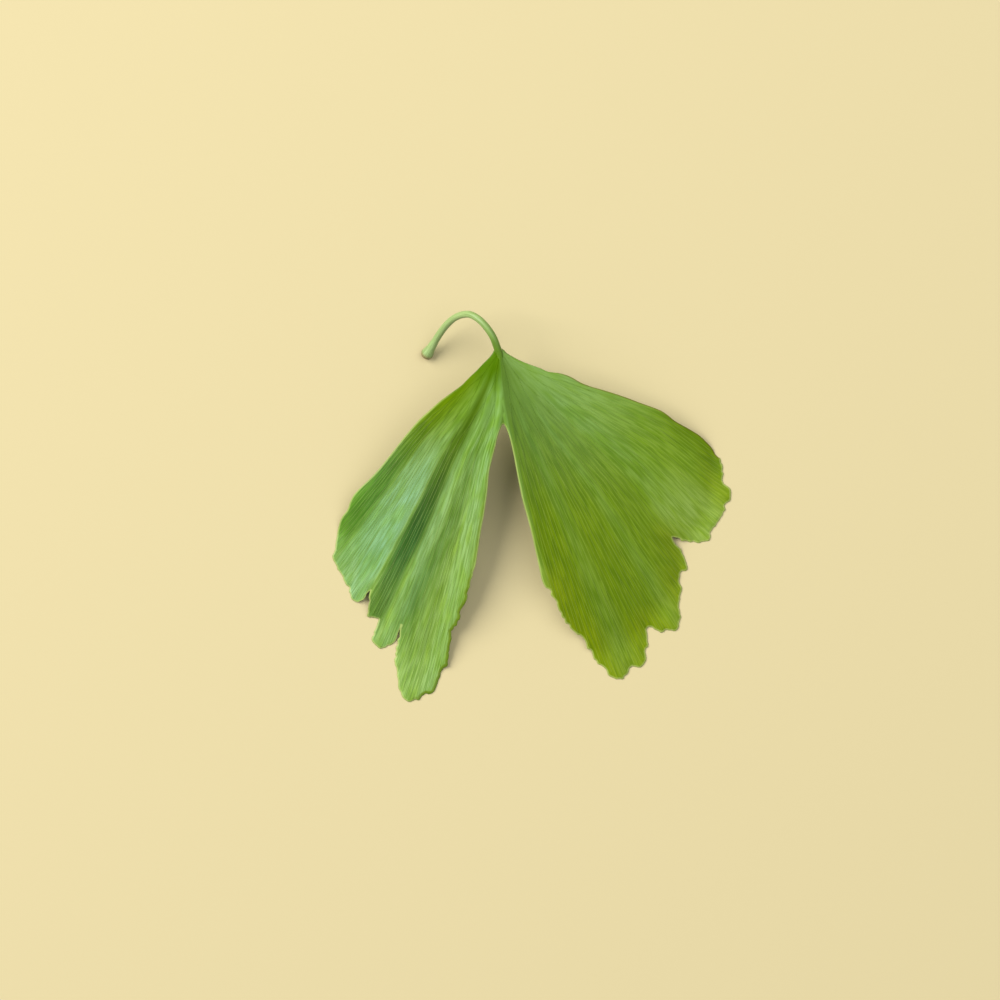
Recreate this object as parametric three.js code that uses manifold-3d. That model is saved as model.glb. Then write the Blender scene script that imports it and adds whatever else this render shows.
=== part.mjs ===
// Ginkgo leaf with its petiole, picked and laid down with its upper face up.
// Millimetres, +Z up. The leaf is drawn about the blade's base, where the petiole enters:
// x is across, "down" is the distance from the base towards the tips, along -Y.
// The finished leaf then moves so that its origin is under the middle of its box.

import * as THREE from 'three';
import { mergeVertices } from 'three/addons/utils/BufferGeometryUtils.js';
import Module from 'manifold-3d';

const wasm = await Module();
wasm.setup();

// Blade: a pleated sheet that arches from its raised base down to the margin
const bladeThickness = 0.8;
const baseThickening = 0.7;
const baseThickeningReach = 7;
const baseHeight = 11;
const archPower = 1.8;
const touchdownBlend = 0.5;
const pleatStart = 5;
const pleatFullRadius = 50;
const pleatRounding = 0.025;

// Sheet that the blade is cut from: rows along the radius, columns fanned round the base
const sheetInnerRadius = 0.4;
const sheetOuterRadius = 68;
const sheetRows = 20;
const sheetLeftAngle = -88;
const sheetRightAngle = 84;
const fanStep = 2.5;

// Petiole: a round stalk from inside the blade's base, over a bend, down to its scarred foot
const petioleDiameter = 1.3;
const petioleSides = 10;
const petioleSteps = 28;
const footDiameter = 2.3;
const footOverlap = 0.6;
const footSides = 16;

const leafColour = 0x6f9a32;
const leafRoughness = 0.55;

// Outline of the blade, as [across, down] from the base, in four stretches
const rightUpperEdge = [
  [0.35, -0.1], [1.0, 0.5], [3.6, 1.8], [7.2, 3.1], [8.6, 3.7], [10.8, 4.0], [12.6, 4.6],
  [14.4, 5.6], [16.2, 6.3], [18.0, 6.8], [21.6, 7.9], [25.2, 9.2], [28.8, 10.5], [30.1, 11.3],
  [31.5, 12.4], [34.2, 13.9], [36.0, 15.0], [37.3, 16.2], [38.3, 17.3], [38.9, 18.4],
];
const rightMargin = [
  [39.6, 19.1], [40.0, 20.0], [40.3, 21.2], [40.0, 23.0], [40.7, 23.8], [41.4, 24.5],
  [41.7, 25.4], [41.7, 26.3], [41.0, 27.0], [40.5, 27.7], [40.7, 28.4], [40.1, 29.2],
  [39.6, 30.1], [38.5, 31.7], [38.1, 32.4], [37.6, 33.9], [36.0, 34.2], [34.2, 34.0],
  [33.1, 33.9], [32.2, 33.5], [31.1, 33.3], [31.7, 34.4], [32.4, 35.3], [32.9, 36.4],
  [33.3, 37.4], [33.8, 39.0], [33.1, 39.4], [32.4, 40.0], [32.4, 41.0], [32.8, 43.0],
  [32.6, 44.3], [32.4, 45.5], [32.6, 47.7], [32.4, 49.0], [32.0, 49.9], [31.5, 50.1],
  [29.7, 50.2], [29.1, 50.7], [28.3, 50.0], [27.5, 49.7], [26.6, 49.6], [26.6, 50.9],
  [26.5, 52.0], [26.6, 53.1], [26.3, 54.0], [26.5, 55.3], [25.7, 56.6], [24.7, 56.7],
  [23.8, 56.5], [22.9, 58.1], [22.3, 58.8], [21.4, 59.0], [20.5, 58.8], [19.6, 58.3],
  [19.1, 57.2], [18.4, 56.5], [17.6, 56.0], [16.6, 54.0], [15.8, 53.3], [15.3, 52.0],
  [14.6, 51.0], [13.9, 50.8], [12.6, 49.3], [11.9, 48.6], [11.3, 47.5], [10.8, 46.3],
  [10.4, 45.3], [9.9, 44.6], [9.4, 43.7], [8.9, 42.8],
];
const sinusEdges = [
  [8.3, 42.4], [7.6, 41.0], [7.2, 39.2], [6.4, 35.6], [5.8, 32.9], [5.1, 30.2], [4.1, 26.6],
  [3.6, 24.3], [3.0, 21.2], [2.4, 18.0], [1.75, 15.3], [1.25, 13.9], [0.9, 13.2],
  [0.55, 12.95], [0.25, 13.3], [-0.05, 14.0], [-0.45, 15.1], [-0.85, 16.9], [-1.5, 19.4],
  [-2.0, 21.6],
  [-2.3, 24.8], [-2.9, 29.0], [-3.4, 31.7], [-4.1, 36.2], [-4.5, 38.5],
];
const leftMargin = [
  [-5.0, 39.8], [-5.4, 41.4], [-5.8, 43.2], [-6.3, 45.0], [-7.0, 46.1], [-7.4, 47.7],
  [-7.9, 49.1], [-8.6, 49.9], [-9.0, 50.6], [-9.0, 51.8], [-9.3, 54.0], [-9.5, 56.3],
  [-10.3, 56.9], [-10.8, 58.0], [-11.2, 59.6], [-11.5, 60.5], [-12.1, 61.4], [-12.8, 61.7],
  [-13.7, 61.7], [-14.6, 62.6], [-15.7, 62.8], [-16.4, 63.2], [-17.3, 62.5], [-17.8, 61.6],
  [-18.4, 60.5], [-18.5, 59.0], [-18.7, 57.2], [-18.9, 55.4], [-18.7, 53.6], [-18.4, 52.2],
  [-18.0, 50.9], [-17.8, 49.1], [-18.7, 51.3], [-19.3, 52.2], [-19.8, 52.7], [-20.7, 53.1],
  [-21.6, 53.3], [-22.7, 52.7], [-23.2, 52.0], [-22.7, 50.6], [-22.1, 49.1], [-21.8, 48.0],
  [-23.0, 47.9], [-23.9, 47.5], [-23.9, 46.6], [-23.7, 45.5], [-23.5, 44.3], [-23.3, 42.8],
  [-24.1, 43.6], [-25.0, 44.6], [-25.7, 45.0], [-26.5, 44.6], [-27.1, 43.9], [-27.2, 42.5],
  [-27.9, 41.6], [-28.6, 40.3], [-29.2, 39.1], [-30.0, 37.8], [-30.1, 36.5], [-29.7, 35.3],
];
const leftUpperEdge = [
  [-29.5, 33.5], [-29.2, 31.7], [-28.6, 29.9], [-27.5, 28.4], [-27.0, 27.0], [-26.3, 25.7],
  [-25.0, 24.3], [-23.6, 23.0], [-21.6, 20.9], [-19.8, 18.7], [-18.0, 16.4], [-16.2, 14.2],
  [-14.4, 12.2], [-12.6, 10.6], [-10.8, 9.0], [-9.0, 7.7], [-6.8, 6.1], [-5.4, 4.7],
  [-4.0, 3.4], [-2.9, 2.3], [-1.8, 1.3], [-1.1, 0.5], [-0.75, -0.1],
];

// Veins fan out between the edges of each lobe. The edges' directions are given as
// [radius, degrees from straight down, positive to the right].
const midlineAngle = 3.3;
const edgeRounding = 1.6;
const rightInnerAngle = [[6, 3.3], [13, 5.6], [16, 7.4], [22, 8.4], [31, 9.6], [43, 11], [65, 12]];
const rightOuterAngle = [[0, 64], [10, 68], [20, 69.5], [30, 70], [36, 68.3], [43, 66], [65, 64]];
const leftInnerAngle = [
  [6, 3.3], [10, 2.2], [13, -0.4], [16, -2.8], [20, -4.8], [32, -6.1], [39, -6.8], [65, -8],
];
const leftOuterAngle = [[0, -52], [10, -49.5], [20, -49], [30, -46.5], [40, -45.5], [65, -45]];

// Pleats of each lobe at pleatFullRadius, as [share of the way from its inner to its outer
// edge, lift]. The steep side of the left lobe's high ridge runs out to a notch of the margin.
const rightPleats = [
  [0, 0.6], [0.12, -0.4], [0.27, 0.35], [0.36, -0.35], [0.47, 0.4], [0.57, -0.6], [0.76, 0.6],
  [0.86, 0.5], [1, -0.1],
];
const leftPleats = [
  [0, 0.5], [0.16, -0.8], [0.3, 0.2], [0.42, -0.6], [0.555, 1.8], [0.68, 0.1], [0.83, -1.1],
  [1, 0.6],
];

// Radius at which the arch reaches the surface, as [degrees, radius]
const touchdownRadius = [
  [-60, 40], [-40, 44.5], [-28, 50], [-15, 59], [5, 58], [20, 58], [32, 55], [45, 48.5],
  [58, 44.5], [75, 40],
];

// Middle of the petiole, as [across, down, height over the surface], from inside the blade
const petioleLine = [
  [0.3, 2.6, 11.0], [0.0, 0.9, 11.65], [-0.5, -0.6, 12.1], [-1.2, -2.4, 12.6],
  [-2.3, -4.1, 12.8], [-3.7, -5.6, 12.4], [-5.2, -6.5, 11.4], [-6.6, -6.6, 9.8],
  [-8.1, -6.1, 7.9], [-9.6, -4.9, 5.9], [-10.9, -3.3, 4.0], [-12.0, -1.6, 2.3],
];
const footLow = [-13.4, 0.5, 0.35];

// Straight-line reading of a table of [key, value] rows
function along(table, key) {
  const last = table.length - 1;
  if (key <= table[0][0]) return table[0][1];
  if (key >= table[last][0]) return table[last][1];
  const upper = table.findIndex((row) => row[0] > key);
  const [k0, v0] = table[upper - 1];
  const [k1, v1] = table[upper];
  return v0 + (v1 - v0) * (key - k0) / (k1 - k0);
}

// The same, with its corners rounded over a short stretch
function roundedAlong(table, key, rounding) {
  const samples = [-1.5, -0.5, 0.5, 1.5];
  const sum = samples.reduce((total, k) => total + along(table, key + k * rounding), 0);
  return sum / samples.length;
}

// Heights below zero settle flat on the surface, through a short curve
function settle(height) {
  if (height >= touchdownBlend) return height;
  if (height <= -touchdownBlend) return 0;
  return (height + touchdownBlend) ** 2 / (4 * touchdownBlend);
}

// Angles of a lobe's two edges at a radius. Near the base both lobes meet at the midline.
function lobeEdges(radius, isRight) {
  const inner = isRight ? rightInnerAngle : leftInnerAngle;
  const outer = isRight ? rightOuterAngle : leftOuterAngle;
  return [roundedAlong(inner, radius, edgeRounding), roundedAlong(outer, radius, edgeRounding)];
}

function pleatLift(radius, angle) {
  const isRight = angle > midlineAngle;
  const [inner, outer] = lobeEdges(radius, isRight);
  const share = (angle - inner) / (outer - inner);
  const lift = roundedAlong(isRight ? rightPleats : leftPleats, share, pleatRounding);
  const growth = Math.max(0, radius - pleatStart) / (pleatFullRadius - pleatStart);
  return lift * growth;
}

function undersideHeight(radius, angle) {
  const reach = along(touchdownRadius, angle);
  const arch = baseHeight * (1 - (radius / reach) ** archPower);
  return settle(arch + pleatLift(radius, angle));
}

function thickness(radius) {
  const nearBase = Math.max(0, 1 - radius / baseThickeningReach);
  return bladeThickness + baseThickening * nearBase;
}

function place(radius, angle, height) {
  const turn = THREE.MathUtils.degToRad(angle);
  return [radius * Math.sin(turn), -radius * Math.cos(turn), height];
}

function solidFrom(geometry) {
  const bare = geometry.clone();
  bare.deleteAttribute('normal');
  bare.deleteAttribute('uv');
  const merged = mergeVertices(bare, 1e-4);
  return new wasm.Manifold(new wasm.Mesh({
    numProp: 3,
    vertProperties: new Float32Array(merged.attributes.position.array),
    triVerts: new Uint32Array(merged.index.array),
  }));
}

// Closed sheet under and over a fan of columns, split into triangles alike on both faces
function sheetSolid() {
  const columns = Math.round((sheetRightAngle - sheetLeftAngle) / fanStep);
  const under = [];
  const over = [];
  for (let c = 0; c <= columns; c += 1) {
    const angle = sheetLeftAngle + (sheetRightAngle - sheetLeftAngle) * c / columns;
    for (let r = 0; r <= sheetRows; r += 1) {
      const radius = sheetInnerRadius + (sheetOuterRadius - sheetInnerRadius) * r / sheetRows;
      const height = undersideHeight(radius, angle);
      under.push(place(radius, angle, height));
      over.push(place(radius, angle, height + thickness(radius)));
    }
  }
  const count = under.length;
  const corners = [];
  const quad = (a, b, c, d) => corners.push(a, b, c, a, c, d);
  const at = (c, r) => c * (sheetRows + 1) + r;
  for (let c = 0; c < columns; c += 1) {
    for (let r = 0; r < sheetRows; r += 1) {
      const [a, b, d, e] = [at(c, r), at(c, r + 1), at(c + 1, r + 1), at(c + 1, r)];
      quad(a + count, b + count, d + count, e + count);
      quad(a, e, d, b);
    }
    quad(at(c, 0) + count, at(c + 1, 0) + count, at(c + 1, 0), at(c, 0));
    quad(at(c, sheetRows), at(c + 1, sheetRows), at(c + 1, sheetRows) + count, at(c, sheetRows) + count);
  }
  for (let r = 0; r < sheetRows; r += 1) {
    quad(at(0, r), at(0, r + 1), at(0, r + 1) + count, at(0, r) + count);
    quad(at(columns, r) + count, at(columns, r + 1) + count, at(columns, r + 1), at(columns, r));
  }
  const geometry = new THREE.BufferGeometry();
  geometry.setAttribute('position', new THREE.Float32BufferAttribute([...under, ...over].flat(), 3));
  geometry.setIndex(corners);
  return solidFrom(geometry);
}

// Upright block in the outline of the blade, taller than the sheet
function outlineSolid() {
  const points = [...rightUpperEdge, ...rightMargin, ...sinusEdges, ...leftMargin, ...leftUpperEdge];
  const shape = new THREE.Shape(points.map(([across, down]) => new THREE.Vector2(across, -down)));
  const block = new THREE.ExtrudeGeometry(shape, { depth: 2 * baseHeight, bevelEnabled: false });
  block.translate(0, 0, -baseHeight / 4);
  return solidFrom(block);
}

function petioleSolid() {
  const points = petioleLine.map(([across, down, height]) => new THREE.Vector3(across, -down, height));
  const path = new THREE.CatmullRomCurve3(points, false, 'centripetal');
  const ring = new THREE.Shape().absarc(0, 0, petioleDiameter / 2, 0, 2 * Math.PI);
  const stalk = new THREE.ExtrudeGeometry(ring, {
    extrudePath: path,
    steps: petioleSteps,
    curveSegments: petioleSides,
    bevelEnabled: false,
  });
  return solidFrom(stalk).add(footSolid(points[points.length - 1]));
}

// Flared end of the petiole, with the shallow dish of its scar
function footSolid(top) {
  const [across, down, height] = footLow;
  const low = new THREE.Vector3(across, -down, height);
  const axis = new THREE.Vector3().subVectors(top, low).normalize();
  const footLength = top.distanceTo(low) + footOverlap;
  const profile = [
    [0, footLength * 0.1],
    [footDiameter * 0.32, 0],
    [footDiameter * 0.46, 0.05],
    [footDiameter * 0.5, footLength * 0.2],
    [footDiameter * 0.44, footLength * 0.42],
    [petioleDiameter * 0.56, footLength * 0.8],
    [petioleDiameter * 0.5, footLength],
    [0, footLength],
  ].map(([radius, up]) => new THREE.Vector2(radius, up));
  const foot = new THREE.LatheGeometry(profile, footSides);
  const turn = new THREE.Quaternion().setFromUnitVectors(new THREE.Vector3(0, 1, 0), axis);
  foot.applyQuaternion(turn);
  foot.translate(low.x, low.y, low.z);
  return solidFrom(foot);
}

// Everything over the surface that the leaf lies on
function aboveSurface(reach) {
  const block = new THREE.BoxGeometry(reach, reach, reach);
  block.translate(0, 0, reach / 2);
  return solidFrom(block);
}

function leafGeometry() {
  const blade = sheetSolid().intersect(outlineSolid());
  const leaf = blade.add(petioleSolid()).intersect(aboveSurface(4 * sheetOuterRadius));
  const mesh = leaf.getMesh();
  const geometry = new THREE.BufferGeometry();
  geometry.setAttribute('position', new THREE.Float32BufferAttribute(mesh.vertProperties, 3));
  geometry.setIndex(Array.from(mesh.triVerts));
  geometry.computeBoundingBox();
  const middle = geometry.boundingBox.getCenter(new THREE.Vector3());
  geometry.translate(-middle.x, -middle.y, 0);
  return geometry;
}

const leaf = new THREE.Mesh(leafGeometry(), new THREE.MeshStandardMaterial({
  color: leafColour,
  roughness: leafRoughness,
  metalness: 0,
}));
leaf.name = 'ginkgo_leaf';

const model = new THREE.Group();
model.add(leaf);

export default model;
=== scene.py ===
# Ginkgo leaf with its petiole, picked and laid down with its upper face up.
import math
import random
import bmesh
import bpy
import numpy as np
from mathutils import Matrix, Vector
from mathutils.bvhtree import BVHTree
from mathutils.geometry import delaunay_2d_cdt
from mathutils.kdtree import KDTree


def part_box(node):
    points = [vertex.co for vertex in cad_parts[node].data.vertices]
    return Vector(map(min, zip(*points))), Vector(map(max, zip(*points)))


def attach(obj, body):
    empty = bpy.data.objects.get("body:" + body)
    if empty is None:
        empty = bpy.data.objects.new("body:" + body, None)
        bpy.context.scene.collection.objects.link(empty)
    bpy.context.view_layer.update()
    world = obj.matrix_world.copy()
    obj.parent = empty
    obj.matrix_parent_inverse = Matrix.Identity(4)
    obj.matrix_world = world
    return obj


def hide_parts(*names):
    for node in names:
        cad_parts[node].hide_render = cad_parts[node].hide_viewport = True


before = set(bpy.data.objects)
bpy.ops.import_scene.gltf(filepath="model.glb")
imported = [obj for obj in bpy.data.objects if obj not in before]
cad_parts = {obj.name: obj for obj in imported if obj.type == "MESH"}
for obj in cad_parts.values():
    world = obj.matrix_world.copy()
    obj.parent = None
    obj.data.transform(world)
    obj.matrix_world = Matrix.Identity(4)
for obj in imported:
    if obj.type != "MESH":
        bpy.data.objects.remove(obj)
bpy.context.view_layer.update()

# The blade. One thin sheet of living leaf tissue, about a third of a millimetre thick, fanned
# out from the petiole and split by a deep middle sinus. It is pleated along its veins, arches
# down from its raised base and rests on its tips and outer margins.
MM = 0.001
BLADE_THICKNESS = 0.36 * MM
BASE_THICKENING = 0.75 * MM
BASE_THICKENING_REACH = 6.5 * MM
BASE_THICKENING_POWER = 1.5
MARGIN_THINNING = 0.45
MARGIN_THINNING_REACH = 1.6 * MM
EDGE_ROUNDNESS = 0.7
BASE_HEIGHT = 11 * MM
ARCH_POWER = 1.8
TOUCHDOWN_BLEND = 0.5 * MM
PLEAT_START = 5 * MM
PLEAT_FULL_RADIUS = 50 * MM
PLEAT_ROUNDING = {"right": 0.035, "left": 0.015}

# Outline, as (across, down) in millimetres from the blade's base, down being towards the tips
RIGHT_UPPER_EDGE = [
    (0.35, -0.1), (1.0, 0.5), (3.6, 1.8), (7.2, 3.1), (8.6, 3.7), (10.8, 4.0), (12.6, 4.6),
    (14.4, 5.6), (16.2, 6.3), (18.0, 6.8), (21.6, 7.9), (25.2, 9.2), (28.8, 10.5), (30.1, 11.3),
    (31.5, 12.4), (34.2, 13.9), (36.0, 15.0), (37.3, 16.2), (38.3, 17.3), (38.9, 18.4),
]
RIGHT_MARGIN = [
    (39.6, 19.1), (40.0, 20.0), (40.3, 21.2), (40.0, 23.0), (40.7, 23.8), (41.4, 24.5),
    (41.7, 25.4), (41.7, 26.3), (41.0, 27.0), (40.5, 27.7), (40.7, 28.4), (40.1, 29.2),
    (39.6, 30.1), (38.5, 31.7), (38.1, 32.4), (37.6, 33.9), (36.0, 34.2), (34.2, 34.0),
    (33.1, 33.9), (32.2, 33.5), (31.1, 33.3), (31.7, 34.4), (32.4, 35.3), (32.9, 36.4),
    (33.3, 37.4), (33.8, 39.0), (33.1, 39.4), (32.4, 40.0), (32.4, 41.0), (32.8, 43.0),
    (32.6, 44.3), (32.4, 45.5), (32.6, 47.7), (32.4, 49.0), (32.0, 49.9), (31.5, 50.1),
    (29.7, 50.2), (29.1, 50.7), (28.3, 50.0), (27.5, 49.7), (26.6, 49.6), (26.6, 50.9),
    (26.5, 52.0), (26.6, 53.1), (26.3, 54.0), (26.5, 55.3), (25.7, 56.6), (24.7, 56.7),
    (23.8, 56.5), (22.9, 58.1), (22.3, 58.8), (21.4, 59.0), (20.5, 58.8), (19.6, 58.3),
    (19.1, 57.2), (18.4, 56.5), (17.6, 56.0), (16.6, 54.0), (15.8, 53.3), (15.3, 52.0),
    (14.6, 51.0), (13.9, 50.8), (12.6, 49.3), (11.9, 48.6), (11.3, 47.5), (10.8, 46.3),
    (10.4, 45.3), (9.9, 44.6), (9.4, 43.7), (8.9, 42.8),
]
SINUS_EDGES = [
    (8.3, 42.4), (7.6, 41.0), (7.2, 39.2), (6.4, 35.6), (5.8, 32.9), (5.1, 30.2), (4.1, 26.6),
    (3.6, 24.3), (3.0, 21.2), (2.4, 18.0), (1.75, 15.3), (1.25, 13.9), (0.9, 13.2),
    (0.55, 12.95), (0.25, 13.3), (-0.05, 14.0), (-0.45, 15.1), (-0.85, 16.9), (-1.5, 19.4),
    (-2.0, 21.6), (-2.3, 24.8), (-2.9, 29.0), (-3.4, 31.7), (-4.1, 36.2), (-4.5, 38.5),
]
LEFT_MARGIN = [
    (-5.0, 39.8), (-5.4, 41.4), (-5.8, 43.2), (-6.3, 45.0), (-7.0, 46.1), (-7.4, 47.7),
    (-7.9, 49.1), (-8.6, 49.9), (-9.0, 50.6), (-9.0, 51.8), (-9.3, 54.0), (-9.5, 56.3),
    (-10.3, 56.9), (-10.8, 58.0), (-11.2, 59.6), (-11.5, 60.5), (-12.1, 61.4), (-12.8, 61.7),
    (-13.7, 61.7), (-14.6, 62.6), (-15.7, 62.8), (-16.4, 63.2), (-17.3, 62.5), (-17.8, 61.6),
    (-18.4, 60.5), (-18.5, 59.0), (-18.7, 57.2), (-18.9, 55.4), (-18.7, 53.6), (-18.4, 52.2),
    (-18.0, 50.9), (-17.8, 49.1), (-18.7, 51.3), (-19.3, 52.2), (-19.8, 52.7), (-20.7, 53.1),
    (-21.6, 53.3), (-22.7, 52.7), (-23.2, 52.0), (-22.7, 50.6), (-22.1, 49.1), (-21.8, 48.0),
    (-23.0, 47.9), (-23.9, 47.5), (-23.9, 46.6), (-23.7, 45.5), (-23.5, 44.3), (-23.3, 42.8),
    (-24.1, 43.6), (-25.0, 44.6), (-25.7, 45.0), (-26.5, 44.6), (-27.1, 43.9), (-27.2, 42.5),
    (-27.9, 41.6), (-28.6, 40.3), (-29.2, 39.1), (-30.0, 37.8), (-30.1, 36.5), (-29.7, 35.3),
]
LEFT_UPPER_EDGE = [
    (-29.5, 33.5), (-29.2, 31.7), (-28.6, 29.9), (-27.5, 28.4), (-27.0, 27.0), (-26.3, 25.7),
    (-25.0, 24.3), (-23.6, 23.0), (-21.6, 20.9), (-19.8, 18.7), (-18.0, 16.4), (-16.2, 14.2),
    (-14.4, 12.2), (-12.6, 10.6), (-10.8, 9.0), (-9.0, 7.7), (-6.8, 6.1), (-5.4, 4.7),
    (-4.0, 3.4), (-2.9, 2.3), (-1.8, 1.3), (-1.1, 0.5), (-0.75, -0.1),
]

# Directions of each lobe's edges, as (radius in millimetres, degrees from straight down)
MIDLINE_ANGLE = 3.3
EDGE_ROUNDING = 1.6
INNER_ANGLE = {
    "right": [(6, 3.3), (13, 5.6), (16, 7.4), (22, 8.4), (31, 9.6), (43, 11), (65, 12)],
    "left": [(6, 3.3), (10, 2.2), (13, -0.4), (16, -2.8), (20, -4.8), (32, -6.1), (39, -6.8),
             (65, -8)],
}
OUTER_ANGLE = {
    "right": [(0, 64), (10, 68), (20, 69.5), (30, 70), (36, 68.3), (43, 66), (65, 64)],
    "left": [(0, -52), (10, -49.5), (20, -49), (30, -46.5), (40, -45.5), (65, -45)],
}
# Pleats, as (share of the way from a lobe's inner to its outer edge, lift in millimetres)
PLEATS = {
    "right": [(0, 0.6), (0.12, -0.4), (0.27, 0.35), (0.36, -0.35), (0.47, 0.4), (0.57, -0.6),
              (0.76, 0.6), (0.86, 0.5), (1, -0.1)],
    "left": [(0, 0.5), (0.16, -0.8), (0.3, 0.2), (0.42, -0.6), (0.555, 1.8), (0.68, 0.1),
             (0.83, -1.1), (1, 0.6)],
}
# Where the arch comes down to the surface, as (degrees, radius in millimetres)
TOUCHDOWN_RADIUS = [(-60, 40), (-40, 44.5), (-28, 50), (-15, 59), (5, 58), (20, 58), (32, 55),
                    (45, 48.5), (58, 44.5), (75, 40)]


def along(table, key):
    """The value at a key, on straight lines between a table's (key, value) points."""
    keys, values = zip(*table)
    return np.interp(key, keys, values)


ROUNDING_STEPS = np.linspace(-1.5, 1.5, 7)


def rounded_along(table, key, rounding):
    """The same, evened out on both sides of the key so that the table's corners are round."""
    parts = (along(table, key + step * rounding) for step in ROUNDING_STEPS)
    return sum(parts) / len(ROUNDING_STEPS)


def settle(height):
    """A height that never goes below the surface, with a soft bend where it comes down to it."""
    curve = (np.maximum(height, -TOUCHDOWN_BLEND) + TOUCHDOWN_BLEND) ** 2 / (4 * TOUCHDOWN_BLEND)
    return np.where(height >= TOUCHDOWN_BLEND, height, curve)


def polar(across, down):
    """Radius in metres and direction in degrees of points of the leaf's plan."""
    return np.hypot(across, down), np.degrees(np.arctan2(across, down))


def lobe_edges(radius, lobe):
    """Directions of a lobe's inner and outer edges at a radius."""
    inner = rounded_along(INNER_ANGLE[lobe], radius / MM, EDGE_ROUNDING)
    outer = rounded_along(OUTER_ANGLE[lobe], radius / MM, EDGE_ROUNDING)
    return inner, outer


def share_across(radius, angle, lobe):
    """0 at a lobe's inner edge and 1 at its outer edge. A vein keeps one share all its way."""
    inner, outer = lobe_edges(radius, lobe)
    return (angle - inner) / (outer - inner)


def pleat_lift(radius, angle):
    """How far the pleats lift or lower the blade, more so farther from its base."""
    growth = np.maximum(0, radius - PLEAT_START) / (PLEAT_FULL_RADIUS - PLEAT_START)
    lifts = {}
    for lobe in ("right", "left"):
        share = share_across(radius, angle, lobe)
        lifts[lobe] = rounded_along(PLEATS[lobe], share, PLEAT_ROUNDING[lobe])
    return np.where(angle > MIDLINE_ANGLE, lifts["right"], lifts["left"]) * MM * growth


def underside_height(across, down):
    """Height of the under face over the surface, with its arch and pleats."""
    radius, angle = polar(across, down)
    reach = along(TOUCHDOWN_RADIUS, angle) * MM
    arch = BASE_HEIGHT * (1 - (radius / reach) ** ARCH_POWER)
    return settle(arch + pleat_lift(radius, angle))


OUTLINE_STEP = 0.2 * MM
ALL_STRETCHES = range(5)
UPPER_RIGHT, RIGHT_CUT, SINUS, LEFT_CUT, UPPER_LEFT = ALL_STRETCHES
TOOTH_SPACING = (0.3 * MM, 0.75 * MM)
TOOTH_DEPTH = (-0.2 * MM, 0.16 * MM)
TEETH_SEED = 4


def cut_teeth(curve, stretch):
    """Small uneven teeth along the cut margins, that the veins' ends make."""
    draw = random.Random(TEETH_SEED)
    arc = np.concatenate([[0], np.cumsum(np.hypot(*np.diff(curve, axis=0).T))])
    places = [0]
    depths = [0]
    while places[-1] < arc[-1]:
        places.append(places[-1] + draw.uniform(*TOOTH_SPACING))
        depths.append(draw.uniform(*TOOTH_DEPTH))
    depth = np.interp(arc, places, depths) * np.isin(stretch, [RIGHT_CUT, LEFT_CUT])
    run = np.roll(curve, -1, axis=0) - np.roll(curve, 1, axis=0)
    out = np.column_stack([-run[:, 1], run[:, 0]]) / np.hypot(*run.T)[:, None]
    return curve + out * depth[:, None]


def curve_point(t, start, slope_out, end, slope_in):
    """The point at a share t of the way from start to end, on a curve with these slopes."""
    return ((2 * t**3 - 3 * t**2 + 1) * start + (t**3 - 2 * t**2 + t) * slope_out
            + (3 * t**2 - 2 * t**3) * end + (t**3 - t**2) * slope_in)


def outline_points():
    """The closed outline in metres, on a smooth curve through its points."""
    corners = RIGHT_UPPER_EDGE + RIGHT_MARGIN + SINUS_EDGES + LEFT_MARGIN + LEFT_UPPER_EDGE
    corners = [Vector(corner) * MM for corner in corners]
    curve = []
    stretch = []
    ends = np.cumsum([len(RIGHT_UPPER_EDGE), len(RIGHT_MARGIN), len(SINUS_EDGES),
                      len(LEFT_MARGIN), len(LEFT_UPPER_EDGE)])
    for k, start in enumerate(corners):
        before, end, after = (corners[(k + step) % len(corners)] for step in (-1, 1, 2))
        length = (end - start).length
        pull_in = (end - before) * (length / ((end - start).length + (start - before).length))
        pull_out = (after - start) * (length / ((after - end).length + (end - start).length))
        pieces = max(1, round(length / OUTLINE_STEP))
        for piece in range(pieces):
            t = piece / pieces
            curve.append(curve_point(t, start, pull_in, end, pull_out))
            stretch.append(int(np.searchsorted(ends, k, side="right")))
    curve = np.array(curve)
    stretch = np.array(stretch)
    return cut_teeth(curve, stretch), stretch


outline, outline_stretch = outline_points()
# A radius that no part of the leaf reaches
LEAF_REACH = outline.max() * 1.1
DOTS_PER_STEP = 10


def distance_to_outline(points, stretches=ALL_STRETCHES):
    """Distance of each plan point to the outline, or to some of its stretches."""
    keep = np.isin(outline_stretch, stretches)
    starts = outline[keep]
    runs = np.roll(outline, -1, axis=0)[keep] - starts
    parts = np.linspace(0, 1, DOTS_PER_STEP, endpoint=False)
    dots = (starts[:, None] + runs[:, None] * parts[:, None]).reshape(-1, 2)
    tree = KDTree(len(dots))
    for k, (across, down) in enumerate(dots):
        tree.insert((across, down, 0), k)
    tree.balance()
    return np.array([tree.find((across, down, 0))[2] for across, down in points])


def inside_outline(points):
    """Even-odd rule: how often a level line to the right of each point meets the outline."""
    inside = np.zeros(len(points), bool)
    x, y = points.T
    for (x0, y0), (x1, y1) in zip(outline, np.roll(outline, -1, axis=0)):
        if y0 == y1:
            continue
        meets = (y0 > y) != (y1 > y)
        inside ^= meets & (x < x0 + (x1 - x0) * (y - y0) / (y1 - y0))
    return inside


def blade_thickness(points):
    """The sheet's thickness at plan points: thicker at its base and thinner at its margin."""
    radius = np.hypot(*points.T)
    near_base = np.maximum(0, 1 - radius / BASE_THICKENING_REACH)
    t = np.clip(distance_to_outline(points) / MARGIN_THINNING_REACH, 0, 1)
    margin = 1 - MARGIN_THINNING * (1 - t * t * (3 - 2 * t))
    return BLADE_THICKNESS * margin + BASE_THICKENING * near_base**BASE_THICKENING_POWER


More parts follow.
